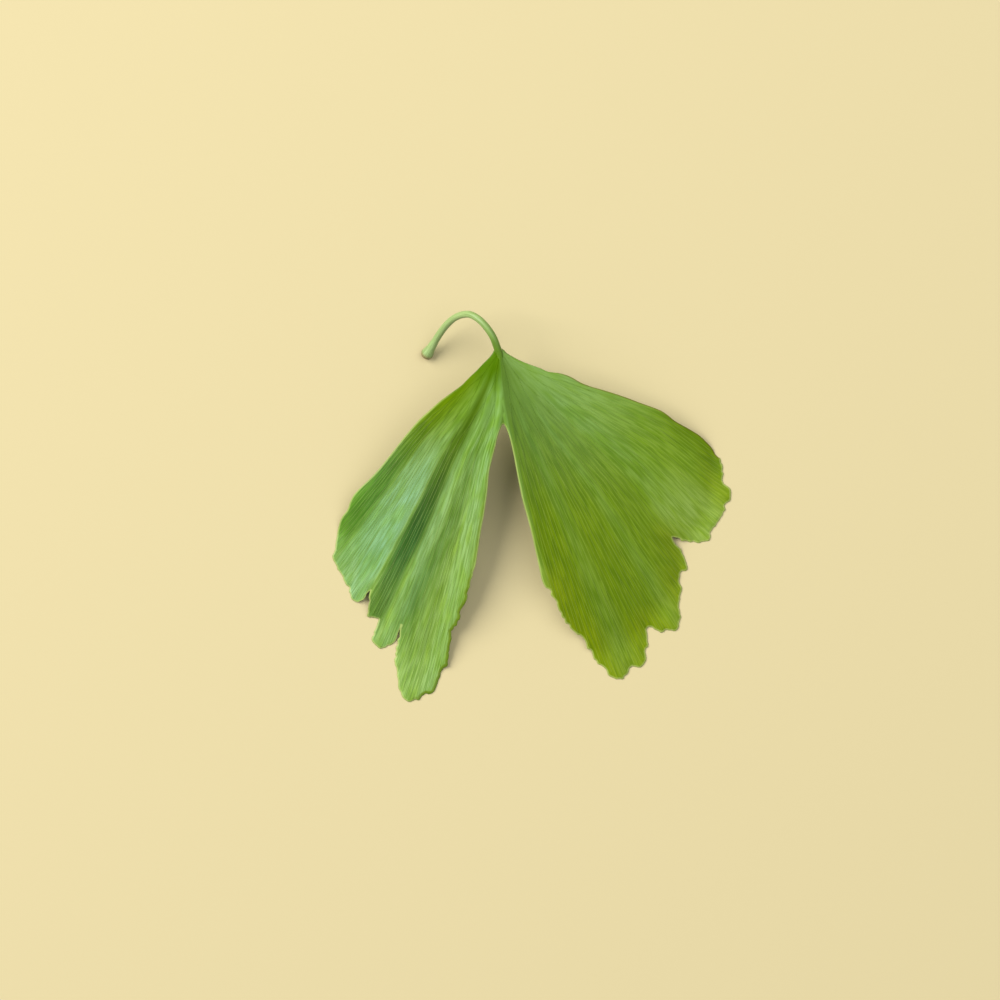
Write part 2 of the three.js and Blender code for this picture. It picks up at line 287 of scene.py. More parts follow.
def to_frame(across, down, height):
    """Plan of the leaf to the frame: the blade's box starts at the node's low corner."""
    return np.column_stack([across + leaf_shift[0], leaf_shift[1] - down, height])


leaf_low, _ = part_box("ginkgo_leaf")
leaf_shift = (leaf_low.x - outline[:, 0].min(), leaf_low.y + outline[:, 1].max())

ROW_STEP = 0.6 * MM
COLUMN_STEP = 0.3 * MM
EDGE_CLEARANCE = 0.2 * MM
SAME_POINT = 1e-9
INSIDE_ONLY = 1


def plan_triangles():
    """The outline filled with triangles, with finer rows near the pleats than along them."""
    fill = []
    for row, radius in enumerate(np.arange(ROW_STEP, LEAF_REACH, ROW_STEP)):
        turn = COLUMN_STEP / radius
        angles = np.arange(-math.pi / 2, math.pi / 2, turn) + turn * 0.5 * (row % 2)
        fill.append(np.column_stack([radius * np.sin(angles), radius * np.cos(angles)]))
    fill = np.concatenate(fill)
    fill = fill[inside_outline(fill)]
    fill = fill[distance_to_outline(fill) > EDGE_CLEARANCE]
    points = [Vector(point) for point in np.concatenate([outline, fill])]
    ring = [(k, (k + 1) % len(outline)) for k in range(len(outline))]
    found = delaunay_2d_cdt(points, ring, [], INSIDE_ONLY, SAME_POINT)
    return np.array([tuple(point) for point in found[0]]), [tuple(face) for face in found[2]]


def blade_mesh():
    """The blade's mesh, and for each of its vertices 1 on the under and 0 on the upper face."""
    plan, triangles = plan_triangles()
    count = len(plan)
    under = underside_height(*plan.T)
    over = under + blade_thickness(plan)
    edges = [edge for a, b, c in triangles for edge in ((a, b), (b, c), (c, a))]
    known = set(edges)
    rim = [edge for edge in edges if edge[::-1] not in known]
    after = dict(rim)
    before = {b: a for a, b in rim}
    outer = {}
    bulge = []
    for k, (start, _) in enumerate(rim):
        run = plan[after[start]] - plan[before[start]]
        out = np.array([run[1], -run[0]]) / np.hypot(*run)
        size = (over[start] - under[start]) * 0.5
        bulge.append([*(plan[start] + out * size * EDGE_ROUNDNESS), under[start] + size])
        outer[start] = 2 * count + k
    bulge = np.array(bulge)
    places = np.concatenate([
        to_frame(*plan.T, under),
        to_frame(*plan.T, over),
        to_frame(*bulge.T),
    ])
    faces = [(a + count, b + count, c + count) for a, b, c in triangles]
    faces += [(a, c, b) for a, b, c in triangles]
    for a, b in rim:
        faces.append((a + count, outer[a], outer[b], b + count))
        faces.append((outer[a], a, b, outer[b]))
    mesh = bpy.data.meshes.new("blade")
    mesh.from_pydata(places.tolist(), [], faces)
    clean = bmesh.new()
    clean.from_mesh(mesh)
    bmesh.ops.recalc_face_normals(clean, faces=clean.faces)
    clean.to_mesh(mesh)
    clean.free()
    mesh.polygons.foreach_set("use_smooth", np.ones(len(mesh.polygons), bool))
    return mesh, np.repeat([1, 0, 0.5], [count, count, len(rim)])


def plan_of(mesh):
    """Plan points of a mesh that is in the frame's place."""
    places = np.empty(3 * len(mesh.vertices), np.float32)
    mesh.vertices.foreach_get("co", places)
    x, y, _ = places.reshape(-1, 3).T.astype(float)
    return np.column_stack([x - leaf_shift[0], leaf_shift[1] - y])


def store(mesh, name, values):
    """A number for each vertex, for the materials to read."""
    layer = mesh.attributes.new(name, "FLOAT", "POINT")
    layer.data.foreach_set("value", np.asarray(values, np.float32))


STEEPEST_PLEAT = 16
SLOPE_STEP = 0.01


def pleat_slope(share, lobe):
    """How steeply a pleat's face leans, 1 for the steepest ones."""
    ahead = rounded_along(PLEATS[lobe], share + SLOPE_STEP, PLEAT_ROUNDING[lobe])
    behind = rounded_along(PLEATS[lobe], share - SLOPE_STEP, PLEAT_ROUNDING[lobe])
    return (ahead - behind) / (2 * SLOPE_STEP) / STEEPEST_PLEAT


# Veins are numbered from 0 at a lobe's inner edge to this at its outer edge
OUTERMOST_VEIN = {"right": 58.0, "left": -40.0}
FAR = 9 * MM
EDGE_PLACES = {
    "cut_margin": [RIGHT_CUT, LEFT_CUT],
    "sinus_edge": [SINUS],
    "right_edge": [UPPER_RIGHT],
    "left_edge": [UPPER_LEFT],
}
LEAF_PLACES = ["vein", "length", "lean", "under", *EDGE_PLACES]


def store_leaf_places(mesh, under):
    """What the greens follow: the vein's number, the millimetres from the base and from each edge,
    how a pleat leans, and 1 on the under and 0 on the upper face."""
    plan = plan_of(mesh)
    radius, angle = polar(*plan.T)
    right = share_across(radius, angle, "right")
    left = share_across(radius, angle, "left")
    is_right = angle > MIDLINE_ANGLE
    veins = right * OUTERMOST_VEIN["right"], left * OUTERMOST_VEIN["left"]
    store(mesh, "vein", np.where(is_right, *veins))
    store(mesh, "length", radius / MM)
    leans = pleat_slope(right, "right"), -pleat_slope(left, "left")
    store(mesh, "lean", np.where(is_right, *leans))
    store(mesh, "under", under)
    for name, stretches in EDGE_PLACES.items():
        store(mesh, name, np.minimum(distance_to_outline(plan, stretches), FAR) / MM)


def placed(name, data):
    """A new object at the origin of the scene."""
    thing = bpy.data.objects.new(name, data)
    bpy.context.scene.collection.objects.link(thing)
    return thing


def piece_from(mesh, name, material):
    piece = placed(name, mesh)
    mesh.materials.clear()
    mesh.materials.append(material)
    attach(piece, "root")
    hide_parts("ginkgo_leaf")


def rgb(red, green, blue):
    """A colour as seen, 0 to 255, as the linear values that a shader takes."""
    seen = (red / 255, green / 255, blue / 255)
    linear = (v / 12.92 if v <= 0.04045 else ((v + 0.055) / 1.055) ** 2.4 for v in seen)
    return (*linear, 1)


class Nodes:
    """Shorthand for adding nodes to a tree and joining them."""

    def __init__(self, tree):
        self.tree = tree

    def add(self, kind, settings=None, **inputs):
        node = self.tree.nodes.new(kind)
        for key, value in (settings or {}).items():
            setattr(node, key, value)
        for key, value in inputs.items():
            self.join(value, node.inputs[int(key[1:])])
        return node

    def join(self, value, socket):
        if isinstance(value, bpy.types.NodeSocket):
            self.tree.links.new(value, socket)
        else:
            socket.default_value = value

    def math(self, operation, a, b=0.0, clamp=False):
        settings = {"operation": operation, "use_clamp": clamp}
        return self.add("ShaderNodeMath", settings, _0=a, _1=b).outputs[0]

    def fade(self, value, start, end, low=0.0, high=1.0):
        settings = {"interpolation_type": "SMOOTHSTEP"}
        node = self.add("ShaderNodeMapRange", settings, _0=value, _1=start, _2=end, _3=low, _4=high)
        return node.outputs[0]

    def mix(self, share, a, b, blend="MIX"):
        settings = {"data_type": "RGBA", "blend_type": blend}
        return self.add("ShaderNodeMix", settings, _0=share, _6=a, _7=b).outputs[2]

    def read(self, name):
        return self.add("ShaderNodeAttribute", {"attribute_name": name}).outputs["Fac"]


STREAK_OCTAVES = 4
STREAK_BENDS = 0.2
STREAK_BENDING = 0.5
STREAK_BEND_WIDTH = 0.3
STREAK_FIRST_LENGTH = 8.0
# How far apart the octaves lie in the noise, so that none repeats another
OCTAVE_APART = 7.3


def streak_group():
    """Streaks along the veins, equally fine all over because they split as the veins do."""
    tree = bpy.data.node_groups.new("vein streaks", "ShaderNodeTree")
    for name in ("Vein", "Length", "Streaks per degree", "Stretch"):
        tree.interface.new_socket(name, in_out="INPUT", socket_type="NodeSocketFloat")
    tree.interface.new_socket("Streak", in_out="OUTPUT", socket_type="NodeSocketFloat")
    nodes = Nodes(tree)
    inputs = nodes.add("NodeGroupInput").outputs
    vein = inputs["Vein"]
    length = inputs["Length"]
    across = nodes.math("MULTIPLY", vein, STREAK_BEND_WIDTH)
    bend = nodes.add("ShaderNodeCombineXYZ", _0=across, _1=length)
    bend = nodes.add("ShaderNodeTexNoise", _0=bend.outputs[0], _2=STREAK_BENDS, _3=1.0).outputs[0]
    bend = nodes.math("MULTIPLY", nodes.math("SUBTRACT", bend, 0.5), STREAK_BENDING)
    doubled = nodes.math("LOGARITHM", nodes.math("DIVIDE", length, STREAK_FIRST_LENGTH), 2.0)
    doubled = nodes.math("MAXIMUM", nodes.math("MINIMUM", doubled, STREAK_OCTAVES - 1.0), 0.0)
    total = 0.0
    for octave in range(STREAK_OCTAVES):
        across = nodes.math("MULTIPLY", vein, inputs["Streaks per degree"])
        across = nodes.math("ADD", nodes.math("MULTIPLY", across, 2.0**octave), bend)
        drawn_out = nodes.math("MULTIPLY", length, inputs["Stretch"])
        apart = OCTAVE_APART * octave
        place = nodes.add("ShaderNodeCombineXYZ", _0=across, _1=drawn_out, _2=apart)
        noise = nodes.add("ShaderNodeTexNoise", _0=place.outputs[0], _2=1.0, _3=1.0, _4=0.5)
        away = nodes.math("ABSOLUTE", nodes.math("SUBTRACT", doubled, float(octave)))
        weight = nodes.math("SUBTRACT", 1.0, away, clamp=True)
        total = nodes.math("ADD", total, nodes.math("MULTIPLY", noise.outputs[0], weight))
    nodes.join(total, nodes.add("NodeGroupOutput").inputs[0])
    return tree


STREAKS = streak_group()

LOBE_SEAM = 2.5
FINE_STREAKS = 0.52
BROAD_STREAKS = 0.14
STREAK_STRETCH = 0.24
# Greens of each lobe: at its inner and outer edge near the base, then the same far from it. They
# are the lobes' own greens and partly painted light: the paler, bluer ones carry a painted sheen
# where a lobe faces the light.
GREENS = {
    "right": [rgb(92, 128, 16), rgb(132, 170, 78), rgb(116, 143, 0), rgb(134, 167, 42)],
    "left": [rgb(142, 184, 104), rgb(106, 136, 0), rgb(150, 185, 88), rgb(104, 153, 58)],
}
# A reach is the millimetres from the base at which an effect starts and ends, and a width is those
# from an edge, or the vein numbers from a vein. Two more numbers are its strengths at the two,
# where they aren't 0 and 1.
GREEN_REACH = {"right": (8.0, 40.0), "left": (17.0, 38.0)}
MARGIN_GREEN = {"right": rgb(144, 162, 6), "left": rgb(148, 186, 86)}
MARGIN_WIDTH = (6.0, 0.0, 0.0, 0.6)
BASE_GREEN = rgb(90, 128, 8)
BASE_REACH = (9.0, 3.0)
BASE_VEINS = (14.0, -8.0)
# Painted light and shade on the pleat faces. Where they lean left, towards the key light, they are
# paler and bluer, a painted sheen. Where they lean right, away from it, they are deeper.
LIT_FACE_GREEN = rgb(118, 177, 150)
SHADE_GREEN = {"right": rgb(74, 110, 14), "left": rgb(36, 102, 30)}
# Painted shade in the left lobe's valleys, where the ridges beside them shade them. Each has a
# place and half a width, as shares of the way across the lobe, and how deep its shade is, near the
# base and far from it, and the radii where it ends
VALLEY_SHADE_REACH = (16.0, 46.0)
VALLEY_SHADES = [
    ((0.465, 0.16, 0.85), (0.475, 0.125, 1.0), (45.0, 34.0)),
    ((0.2, 0.15, 0.3), (0.315, 0.1, 0.6), (60.0, 48.0)),
]
VALLEY_SHADE_NEAR_GREEN = rgb(84, 114, 0)
# Painted light on the end of the right lobe's upper part, above its deepest notch, where that
# sub-lobe faces the light
TIP_VEIN = 41.0
TIP_WIDTH = (9.0, 3.0)
TIP_REACH = (33.0, 46.0, 0.0, 0.7)
LIT_TIP_GREEN = rgb(160, 188, 92)
# On the left lobe the corner green is painted: a shaded edge strip that leans away from the light,
# with light shining through it
CORNER_GREEN = {"right": rgb(116, 146, 0), "left": rgb(100, 154, 20)}
CORNER_WIDTH = (5.0, 0.5)
CORNER_REACH = (27.0, 37.0, 0.0, 0.75)
# How strongly each lobe's pleat faces get their painted light and shade
PAINTED_FACE_LIGHT = {"right": 0.22, "left": 0.6}
PAINTED_FACE_LIGHT_REACH = {"right": (5.0, 18.0), "left": (13.0, 33.0)}
INNER_FACE_LIGHT_VEINS = (18.0, 12.0, 1.0, 0.5)
OUTER_FACE_LIGHT_REACH = (40.0, 50.0, 1.0, 0.7)
STREAK_DARK = rgb(210, 220, 176)
STREAK_MIDDLE = rgb(234, 238, 220)
STREAK_LIGHT = rgb(255, 255, 255)
STREAK_CONTRAST = {"right": 0.75, "left": 1.0}
STREAK_REACH = (5.0, 20.0, 0.25, 1.0)
FINE_STREAK_EDGES = (0.38, 0.62)
BROAD_STREAK_EDGES = (0.32, 0.62)
BROAD_DEEP = rgb(238, 244, 176)
BROAD_PALE = rgb(255, 255, 255)
UNDERSIDE_GREEN = rgb(150, 176, 110)
UNDERSIDE_SHARE = 0.6
OLIVE_STRIP_GREEN = rgb(106, 134, 10)
OLIVE_STRIP_WIDTH = (0.6, 0.3)
OLIVE_STRIP_VEINS = (-8.0, -5.0)
OLIVE_STRIP_LAST_VEINS = (0.0, -1.0)
OLIVE_STRIP_REACH = (16.0, 30.0)
RIM_YELLOW = rgb(196, 208, 120)
RIM_YELLOW_WIDTH = (0.3, 0.05)
RIM_YELLOW_REACH = (8.0, 18.0, 0.0, 0.5)
RIM_BROWN = rgb(116, 88, 34)
RIM_BROWN_WIDTH = (0.24, 0.0)
RIM_BROWN_REACH = (9.0, 14.0, 0.0, 0.5)


def streaks(nodes, vein, length, per_degree, stretch):
    settings = {"node_tree": STREAKS}
    group = nodes.add("ShaderNodeGroup", settings, _0=vein, _1=length, _2=per_degree, _3=stretch)
    return group.outputs[0]


def lobe_green(nodes, lobe, places):
    """A lobe's green, with painted light on the pleat faces that lean left and painted shade on
    those that lean right.
    """
    vein = places["vein"]
    length = places["length"]
    shade = SHADE_GREEN[lobe]
    share = nodes.fade(vein, 0.0, OUTERMOST_VEIN[lobe])
    near_inner, near_outer, far_inner, far_outer = GREENS[lobe]
    near = nodes.mix(share, near_inner, near_outer)
    far = nodes.mix(share, far_inner, far_outer)
    green = nodes.mix(nodes.fade(length, *GREEN_REACH[lobe]), near, far)
    margin = nodes.fade(places["cut_margin"], *MARGIN_WIDTH)
    green = nodes.mix(margin, green, MARGIN_GREEN[lobe])
    # Painted light and shade, by how each pleat face leans towards the light
    face_light = nodes.fade(length, *PAINTED_FACE_LIGHT_REACH[lobe], 0.0, PAINTED_FACE_LIGHT[lobe])
    if lobe == "left":
        inner = nodes.fade(nodes.math("MULTIPLY", vein, -1.0), *INNER_FACE_LIGHT_VEINS)
        face_light = nodes.math("MULTIPLY", face_light, inner)
        face_light = nodes.math("MULTIPLY", face_light, nodes.fade(length, *OUTER_FACE_LIGHT_REACH))
    lean = nodes.math("MULTIPLY", places["lean"], face_light)
    green = nodes.mix(nodes.math("MAXIMUM", lean, 0.0), green, LIT_FACE_GREEN)
    lean = nodes.math("MULTIPLY", lean, -1.0)
    green = nodes.mix(nodes.math("MAXIMUM", lean, 0.0), green, shade)
    if lobe == "left":
        share = nodes.math("DIVIDE", vein, OUTERMOST_VEIN[lobe])
        # Painted shade along the left lobe's valleys
        valley_shade_green = nodes.mix(nodes.fade(length, *VALLEY_SHADE_REACH), VALLEY_SHADE_NEAR_GREEN, shade)
        for near_base, far_off, end in VALLEY_SHADES:
            ends = zip(near_base, far_off)
            place, width, depth = (nodes.fade(length, *VALLEY_SHADE_REACH, *pair) for pair in ends)
            away = nodes.math("ABSOLUTE", nodes.math("SUBTRACT", share, place))
            valley_shade = nodes.math("MULTIPLY", nodes.fade(away, width, 0.0), depth)
            valley_shade = nodes.math("MULTIPLY", valley_shade, nodes.fade(length, *end))
            green = nodes.mix(valley_shade, green, valley_shade_green)
    else:
        # Painted light on the right lobe's upper end
        away = nodes.math("ABSOLUTE", nodes.math("SUBTRACT", vein, TIP_VEIN))
        tip = nodes.math("MULTIPLY", nodes.fade(away, *TIP_WIDTH), nodes.fade(length, *TIP_REACH))
        green = nodes.mix(tip, green, LIT_TIP_GREEN)
    # On the left lobe, painted shade with light shining through the upper outer edge strip
    corner = nodes.fade(places[lobe + "_edge"], *CORNER_WIDTH)
    corner = nodes.math("MULTIPLY", corner, nodes.fade(length, *CORNER_REACH))
    return nodes.mix(corner, green, CORNER_GREEN[lobe])


def leaf_greens_group():
    """The green of each place on the leaf, with its streaks and rims, and the fine streaks."""
    tree = bpy.data.node_groups.new("leaf greens", "ShaderNodeTree")
    for name in LEAF_PLACES:
        tree.interface.new_socket(name, in_out="INPUT", socket_type="NodeSocketFloat")
    tree.interface.new_socket("Green", in_out="OUTPUT", socket_type="NodeSocketColor")
    tree.interface.new_socket("Fine streak", in_out="OUTPUT", socket_type="NodeSocketFloat")
    nodes = Nodes(tree)
    inputs = nodes.add("NodeGroupInput").outputs
    places = {name: inputs[name] for name in LEAF_PLACES}
    vein = places["vein"]
    length = places["length"]
    right = lobe_green(nodes, "right", places)
    left = lobe_green(nodes, "left", places)
    green = nodes.mix(nodes.fade(vein, -LOBE_SEAM, LOBE_SEAM), left, right)
    base = nodes.math("MULTIPLY", nodes.fade(length, *BASE_REACH), nodes.fade(vein, *BASE_VEINS))
    green = nodes.mix(base, green, BASE_GREEN)
    fine = streaks(nodes, vein, length, FINE_STREAKS, STREAK_STRETCH)
    broad = streaks(nodes, vein, length, BROAD_STREAKS, STREAK_STRETCH)
    contrasts = STREAK_CONTRAST["left"], STREAK_CONTRAST["right"]
    contrast = nodes.fade(vein, -LOBE_SEAM, LOBE_SEAM, *contrasts)
    contrast = nodes.math("MULTIPLY", contrast, nodes.fade(length, *STREAK_REACH))
    fine_tone = nodes.mix(nodes.fade(fine, *FINE_STREAK_EDGES), STREAK_DARK, STREAK_LIGHT)
    fine_tone = nodes.mix(contrast, STREAK_MIDDLE, fine_tone)
    broad_tone = nodes.mix(nodes.fade(broad, *BROAD_STREAK_EDGES), BROAD_DEEP, BROAD_PALE)
    green = nodes.mix(1.0, green, fine_tone, "MULTIPLY")
    green = nodes.mix(1.0, green, broad_tone, "MULTIPLY")
    under = nodes.math("MULTIPLY", places["under"], UNDERSIDE_SHARE)
    green = nodes.mix(under, green, UNDERSIDE_GREEN)
    inner_rim = nodes.math("MINIMUM", places["cut_margin"], places["sinus_edge"])
    olive = nodes.fade(inner_rim, *OLIVE_STRIP_WIDTH)
    olive = nodes.math("MULTIPLY", olive, nodes.fade(vein, *OLIVE_STRIP_VEINS))
    olive = nodes.math("MULTIPLY", olive, nodes.fade(vein, *OLIVE_STRIP_LAST_VEINS))
    olive = nodes.math("MULTIPLY", olive, nodes.fade(length, *OLIVE_STRIP_REACH))
    green = nodes.mix(olive, green, OLIVE_STRIP_GREEN)
    yellow = nodes.fade(nodes.math("MINIMUM", inner_rim, places["left_edge"]), *RIM_YELLOW_WIDTH)
    yellow = nodes.math("MULTIPLY", yellow, nodes.fade(length, *RIM_YELLOW_REACH))
    yellow = nodes.math("MULTIPLY", yellow, nodes.math("SUBTRACT", 1.0, olive))
    green = nodes.mix(yellow, green, RIM_YELLOW)
    brown = nodes.fade(places["right_edge"], *RIM_BROWN_WIDTH)
    brown = nodes.math("MULTIPLY", brown, nodes.fade(length, *RIM_BROWN_REACH))
    green = nodes.mix(brown, green, RIM_BROWN)
    outputs = nodes.add("NodeGroupOutput").inputs
    nodes.join(green, outputs["Green"])
    nodes.join(fine, outputs["Fine streak"])
    return tree


LEAF_GREENS = leaf_greens_group()


def leaf_greens(nodes):
    """The group's green and fine streaks, in the material of a piece that stores its places."""
    group = nodes.add("ShaderNodeGroup", {"node_tree": LEAF_GREENS})
    for name in LEAF_PLACES:
        nodes.join(nodes.read(name), group.inputs[name])
    return group.outputs["Green"], group.outputs["Fine streak"]


SHEEN = {"right": (0.4, 0.12), "left": (0.02, 0.5)}
SHEEN_REACH = (11.0, 34.0)
BLADE_ROUGHNESS = 0.46
BLADE_GLOW = 0.22
STREAK_RELIEF_STRENGTH = 0.35
STREAK_RELIEF = 0.06 * MM


def leaf_sheen(nodes):
    """Specular level: the wax makes the left lobe shine more far from the base, the right less."""
    length = nodes.read("length")
    right = nodes.fade(length, *SHEEN_REACH, *SHEEN["right"])
    left = nodes.fade(length, *SHEEN_REACH, *SHEEN["left"])
    is_right = nodes.fade(nodes.read("vein"), -LOBE_SEAM, LOBE_SEAM)
    more = nodes.math("MULTIPLY", is_right, nodes.math("SUBTRACT", right, left))
    return nodes.math("ADD", left, more)


def leaf_surface(nodes, green):
    """Waxy leaf tissue that lets a little light through. Gives the surface, to set its normal."""
    surface = nodes.add("ShaderNodeBsdfPrincipled")
    surface.inputs["Roughness"].default_value = BLADE_ROUGHNESS
    nodes.join(leaf_sheen(nodes), surface.inputs["Specular IOR Level"])
    nodes.join(green, surface.inputs["Base Color"])
    glow = nodes.add("ShaderNodeBsdfTranslucent")
    nodes.join(green, glow.inputs["Color"])
    both = nodes.add("ShaderNodeMixShader", _0=BLADE_GLOW)
    nodes.join(surface.outputs[0], both.inputs[1])
    nodes.join(glow.outputs[0], both.inputs[2])
    nodes.join(both.outputs[0], nodes.add("ShaderNodeOutputMaterial").inputs[0])
    return surface


def empty_material(name):
    """A new material, and the shorthand for its empty tree."""
    material = bpy.data.materials.new(name)
    material.use_nodes = True
    material.node_tree.nodes.clear()
    return material, Nodes(material.node_tree)


def relief(nodes, height, strength, distance):
    """The normal of a surface with this relief."""
    bump = nodes.add("ShaderNodeBump")
    bump.inputs["Strength"].default_value = strength
    bump.inputs["Distance"].default_value = distance
    nodes.join(height, bump.inputs["Height"])
    return bump.outputs[0]


def blade_material():
    material, nodes = empty_material("leaf_blade")
    green, fine = leaf_greens(nodes)
    surface = leaf_surface(nodes, green)
    normal = relief(nodes, fine, STREAK_RELIEF_STRENGTH, STREAK_RELIEF)
    nodes.join(normal, surface.inputs["Normal"])
    return material


blade_data, blade_under = blade_mesh()
store_leaf_places(blade_data, blade_under)
piece_from(blade_data, "blade", blade_material())

# The veins. Fine ribs of the blade's own tissue that stand out a little on both faces. A few
# leave the petiole together, fan out and fork in two again and again, so that they lie equally
# close all over the blade, and end at its cut margin.
FIRST_VEINS = {"right": 3, "left": 2}
FIRST_VEIN_RADIUS = 0.9 * MM
# Shares of the way across a lobe that its veins lie between
VEIN_SHARES = (0.008, 0.985)
# A vein forks where it has this width to itself, times a random number between these two, and
# its new branches reach their own places over this length
FORK_WIDTH = 0.8 * MM
FORK_WIDTH_VARIES = (0.75, 1.4)
FORK_PLACE = (0.42, 0.58)
FORK_SPREAD = 5.5 * MM
LEAST_SPREAD = 0.6
VEIN_STEP = 0.8 * MM
BASE_VEIN_STEP = 0.4 * VEIN_STEP
BASE_VEIN_REACH = 6 * MM
VEIN_THICKNESS = (0.09 * MM, 0.07 * MM)
VEIN_THINNING_REACH = 30 * MM
VEIN_STANDS_OUT = 0.3
VEIN_SIDES = 6
VEIN_END_GAP = 0.25 * MM
VEIN_SEED = 11


def vein_lines():
    """Plan points of each vein stretch between two forks, and their thickness."""
    draw = random.Random(VEIN_SEED)
    waiting = []
    for lobe, first in FIRST_VEINS.items():
        bounds = np.linspace(*VEIN_SHARES, first + 1)
        for low, high in zip(bounds, bounds[1:]):
            waiting.append((lobe, low, high, (low + high) / 2, FIRST_VEIN_RADIUS))
    lines = []
    while waiting:
        lobe, low, high, from_share, from_radius = waiting.pop()
        middle = (low + high) / 2
        fork_width = FORK_WIDTH * draw.uniform(*FORK_WIDTH_VARIES)
        cut = low + (high - low) * draw.uniform(*FORK_PLACE)
        line = []
        radius = from_radius
        while radius < LEAF_REACH:
            t = min(1, (radius - from_radius) / FORK_SPREAD)
            share = from_share + (middle - from_share) * t * t * (3 - 2 * t)
            inner, outer = lobe_edges(radius, lobe)
            turn = math.radians(inner + share * (outer - inner))
            line.append((radius * math.sin(turn), radius * math.cos(turn)))
            width = (high - low) * math.radians(abs(outer - inner)) * radius
            if width > fork_width and t > LEAST_SPREAD:
                waiting.append((lobe, low, cut, share, radius))
                waiting.append((lobe, cut, high, share, radius))
                break
            radius += VEIN_STEP if radius > BASE_VEIN_REACH else BASE_VEIN_STEP
        line = np.array(line)
        kept = inside_outline(line) & (distance_to_outline(line) > VEIN_END_GAP)
        ends = np.nonzero(~kept)[0]
        starts = np.nonzero(kept)[0]
        if len(starts) == 0:
            continue
        after = ends[ends > starts[0]]
        line = line[starts[0]:after[0] if len(after) else len(line)]
        if len(line) > 1:
            lines.append(line)
    return lines


# Height on a ring of radius 1 at which its groove starts
GROOVE_START = 0.55


def sweep_tree():
    """A skin swept along lines, as thick as they say, with or without a groove along its top."""
    tree = bpy.data.node_groups.new("grown rib", "GeometryNodeTree")
    tree.interface.new_socket("Lines", in_out="INPUT", socket_type="NodeSocketGeometry")
    tree.interface.new_socket("Sides", in_out="INPUT", socket_type="NodeSocketInt")
    tree.interface.new_socket("Groove depth", in_out="INPUT", socket_type="NodeSocketFloat")
    tree.interface.new_socket("Finish", in_out="INPUT", socket_type="NodeSocketMaterial")
    tree.interface.new_socket("Skin", in_out="OUTPUT", socket_type="NodeSocketGeometry")
    nodes = Nodes(tree)
    inputs = nodes.add("NodeGroupInput").outputs
    line = nodes.add("GeometryNodeMeshToCurve", _0=inputs["Lines"]).outputs[0]
    line = nodes.add("GeometryNodeSetCurveNormal", {"mode": "Z_UP"}, _0=line).outputs[0]
    numbers = {"data_type": "FLOAT"}
    thickness = nodes.add("GeometryNodeInputNamedAttribute", numbers, _0="thickness").outputs[0]
    ring = nodes.add("GeometryNodeCurvePrimitiveCircle", _0=inputs["Sides"], _4=1.0).outputs[0]
    place = nodes.add("GeometryNodeInputPosition").outputs[0]
    up = nodes.add("ShaderNodeSeparateXYZ", _0=place).outputs[1]
    groove = nodes.fade(up, GROOVE_START, 1.0)
    groove = nodes.math("MULTIPLY", groove, inputs["Groove depth"])
    pressed = nodes.add("ShaderNodeVectorMath", {"operation": "SCALE"}, _0=place)
    nodes.join(nodes.math("SUBTRACT", 1.0, groove), pressed.inputs["Scale"])
    ring = nodes.add("GeometryNodeSetPosition", _0=ring, _2=pressed.outputs[0]).outputs[0]
    around = nodes.add("GeometryNodeSplineParameter").outputs[0]
    ring = nodes.add("GeometryNodeStoreNamedAttribute", numbers, _0=ring, _2="around", _3=around)
    ring = ring.outputs[0]
    skin = nodes.add("GeometryNodeCurveToMesh", _0=line, _1=ring, _2=thickness, _3=True).outputs[0]
    skin = nodes.add("GeometryNodeSetShadeSmooth", _0=skin).outputs[0]
    skin = nodes.add("GeometryNodeRealizeInstances", _0=skin).outputs[0]
    skin = nodes.add("GeometryNodeSetMaterial", _0=skin, _2=inputs["Finish"]).outputs[0]
    nodes.join(skin, nodes.add("NodeGroupOutput").inputs[0])
    return tree


SWEEP = sweep_tree()


def swept(lines, thicknesses, lengths, sides, groove, material):
    """Plain mesh of the skin swept along lines of points in the frame."""
    mesh = bpy.data.meshes.new("lines")
    places = np.concatenate(lines)
    firsts = np.cumsum([0] + [len(line) for line in lines[:-1]])
    starts = [int(first) + k for first, line in zip(firsts, lines) for k in range(len(line) - 1)]
    mesh.from_pydata(places.tolist(), [(start, start + 1) for start in starts], [])
    store(mesh, "thickness", np.concatenate(thicknesses))
    store(mesh, "length", np.concatenate(lengths))
    carrier = placed("lines", mesh)
    grow = carrier.modifiers.new("sweep", "NODES")
    grow.node_group = SWEEP
    settings = {"Sides": sides, "Groove depth": groove, "Finish": material}
    for socket in SWEEP.interface.items_tree:
        if socket.in_out == "INPUT" and socket.name in settings:
            grow[socket.identifier] = settings[socket.name]
    grown = carrier.evaluated_get(bpy.context.evaluated_depsgraph_get())
    result = bpy.data.meshes.new_from_object(grown)
    carrier.modifiers.remove(grow)
    bpy.data.objects.remove(carrier)
    return result


VEIN_GREEN = rgb(176, 196, 100)
VEIN_GREEN_REACH = (8.0, 26.0, 0.0, 0.16)


def vein_material():
    material, nodes = empty_material("leaf_vein")
    green, _ = leaf_greens(nodes)
    paleness = nodes.fade(nodes.read("length"), *VEIN_GREEN_REACH)
    leaf_surface(nodes, nodes.mix(paleness, green, VEIN_GREEN))
    return material


VEIN_LINES = vein_lines()


